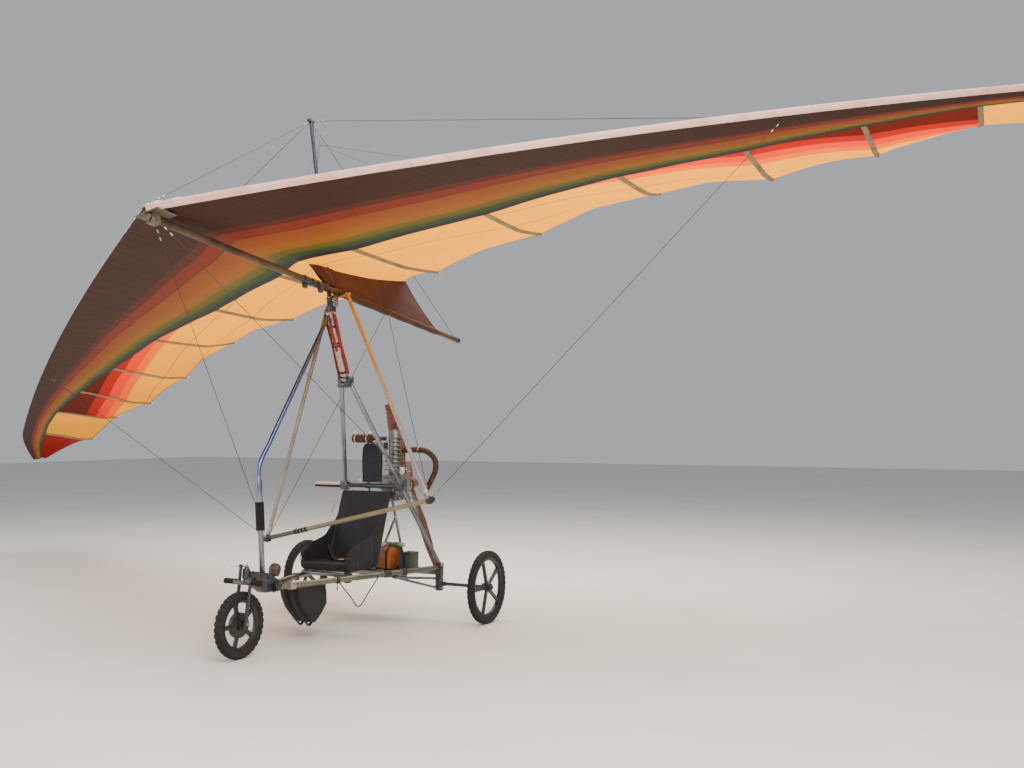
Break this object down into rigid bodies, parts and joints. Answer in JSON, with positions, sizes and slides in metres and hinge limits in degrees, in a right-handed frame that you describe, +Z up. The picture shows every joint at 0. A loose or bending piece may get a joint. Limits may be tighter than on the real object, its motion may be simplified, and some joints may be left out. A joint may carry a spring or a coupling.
{
  "type": "ultralight trike",
  "caption": "Single-seat tube-frame trike on wheels under a flex wing, with a foot-steered nose wheel and a pusher propeller.",
  "frame": {"origin": "on the ground under the middle of the object's box at rest", "axes": "+X across the trike to port, along the wing's span; +Y aft, from nose wheel to propeller; +Z up"},
  "size_m": [10.678, 4.277, 3.6189],
  "materials": {
    "alloy_tube": "bare drawn aluminium tube, satin, faint draw lines",
    "anodised_tube": "pale pinkish anodised aluminium, worn at the clamps",
    "dark_bracket": "dark blue-grey painted steel, chipped at edges",
    "steel_fitting": "zinc-plated steel and stainless wire",
    "mag_wheel": "black moulded nylon wheel, scuffed",
    "tyre_rubber": "black rubber, dusty tread",
    "foam_grip": "closed-cell black foam",
    "seat_cloth": "dark navy woven nylon over foam",
    "bag_cloth": "black coated nylon",
    "sail_cloth": "sailcloth in bands from maroon at the leading edge to yellow at the rear",
    "pocket_cloth": "brown sailcloth",
    "tank_plastic": "orange-brown translucent fuel tank plastic",
    "box_paint": "dark grey-green moulded box",
    "cast_alloy": "rough cast engine alloy, oily in the corners",
    "rusty_steel": "rust-brown heat-stained steel",
    "prop_wood": "varnished laminated wood",
    "cable_sheath": "black cable sheath"
  },
  "bodies": {
    "trike": {"side_tube_starboard": "alloy_tube", "side_tube_port": "alloy_tube", "front_strut": "alloy_tube", "nose_bracket": "dark_bracket", "strut_grip": "foam_grip", "mast_leg_starboard": "alloy_tube", "mast_leg_port": "alloy_tube", "mast_head": "anodised_tube", "rear_corner_starboard": "dark_bracket", "rear_corner_port": "dark_bracket", "rear_cross_tube": "alloy_tube", "seat_bar_front": "alloy_tube", "seat_bar_rear": "alloy_tube", "seat": "seat_cloth", "engine_beam": "alloy_tube", "beam_pad": "foam_grip", "headrest": "seat_cloth", "tank_tray": "alloy_tube", "fuel_tank": "tank_plastic", "battery_box": "box_paint", "engine_mount": "alloy_tube", "engine_case": "cast_alloy", "engine_cylinder": "cast_alloy", "exhaust": "rusty_steel", "intake_silencer": "rusty_steel", "stowage_bag": "bag_cloth", "hanging_cable": "cable_sheath"},
    "fork": {"fork": "dark_bracket", "foot_peg_port": "foam_grip", "foot_peg_starboard": "foam_grip", "brake_pedal": "mag_wheel"},
    "front_wheel": {"front_tyre": "tyre_rubber", "front_rim": "mag_wheel"},
    "rear_port_wheel": {"rear_port_tyre": "tyre_rubber", "rear_port_rim": "mag_wheel"},
    "rear_starboard_wheel": {"rear_starboard_tyre": "tyre_rubber", "rear_starboard_rim": "mag_wheel"},
    "propeller": {"propeller": "prop_wood"},
    "hang_block": {"hang_block": "steel_fitting"},
    "wing": {"keel_tube": "alloy_tube", "nose_plate": "steel_fitting", "sail_port": "sail_cloth", "sail_starboard": "sail_cloth", "keel_pocket": "pocket_cloth", "kingpost": "alloy_tube", "downtube_port": "alloy_tube", "downtube_starboard": "alloy_tube", "base_bar": "anodised_tube", "side_stay_port": "steel_fitting", "side_stay_starboard": "steel_fitting", "front_stay_port": "steel_fitting", "front_stay_starboard": "steel_fitting", "rear_stay_port": "steel_fitting", "rear_stay_starboard": "steel_fitting", "top_stay_nose": "steel_fitting", "top_stay_tail": "steel_fitting", "top_stay_port": "steel_fitting", "top_stay_starboard": "steel_fitting"}
  },
  "joints": [
    {"name": "steering", "type": "hinge", "parent": "trike", "child": "fork", "pos_m": [0.07366, -1.32718, 0.44567], "axis": [0, 0.1392, 0.9903], "range_deg": [-35, 35]},
    {"name": "front_wheel_spin", "type": "hinge", "parent": "fork", "child": "front_wheel", "pos_m": [0.07366, -1.37386, 0.19977], "axis": [1, 0, 0], "continuous": true},
    {"name": "rear_port_wheel_spin", "type": "hinge", "parent": "trike", "child": "rear_port_wheel", "pos_m": [0.86366, 0.28614, 0.25477], "axis": [1, 0, 0], "continuous": true},
    {"name": "rear_starboard_wheel_spin", "type": "hinge", "parent": "trike", "child": "rear_starboard_wheel", "pos_m": [-0.71634, 0.28614, 0.25477], "axis": [1, 0, 0], "continuous": true},
    {"name": "propeller_spin", "type": "hinge", "parent": "trike", "child": "propeller", "pos_m": [0.07366, 0.53114, 0.94477], "axis": [0, 1, 0], "continuous": true},
    {"name": "wing_pitch", "type": "hinge", "parent": "trike", "child": "hang_block", "pos_m": [0.07366, -0.47586, 2.21677], "axis": [1, 0, 0], "range_deg": [-11, 10]},
    {"name": "wing_roll", "type": "hinge", "parent": "hang_block", "child": "wing", "pos_m": [0.07366, -0.47009, 2.26241], "axis": [0, 0.9921, -0.1253], "range_deg": [0, 26.6]}
  ]
}
